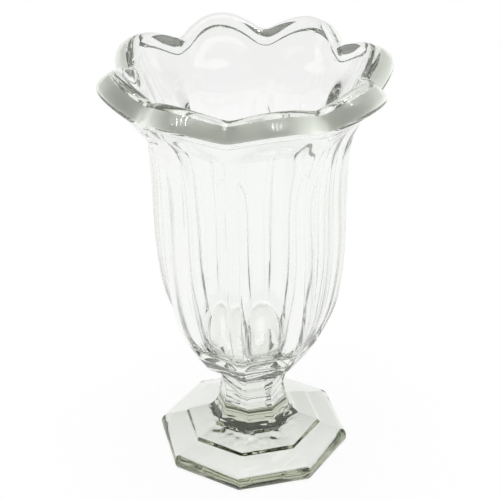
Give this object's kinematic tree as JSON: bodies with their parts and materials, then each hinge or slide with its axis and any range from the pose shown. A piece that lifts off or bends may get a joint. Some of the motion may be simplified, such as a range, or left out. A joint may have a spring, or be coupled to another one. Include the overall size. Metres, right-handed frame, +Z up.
{
  "type": "footed vase",
  "caption": "Clear pressed-glass footed vase with fluted panels, a flared petal-scalloped rim, a short stem and a stepped octagonal foot.",
  "frame": {"origin": "middle of the eight-sided ring that the foot stands on, at table height", "axes": "+Z up the vase's axis, out of the mouth; +X and +Y square to flat panels, with the ribs midway between the panels"},
  "size_m": [0.1248, 0.1248, 0.19],
  "materials": {
    "clear_glass": "gloss"
  },
  "bodies": {
    "root": {"bowl": "clear_glass", "stem": "clear_glass", "foot": "clear_glass"}
  },
  "joints": []
}
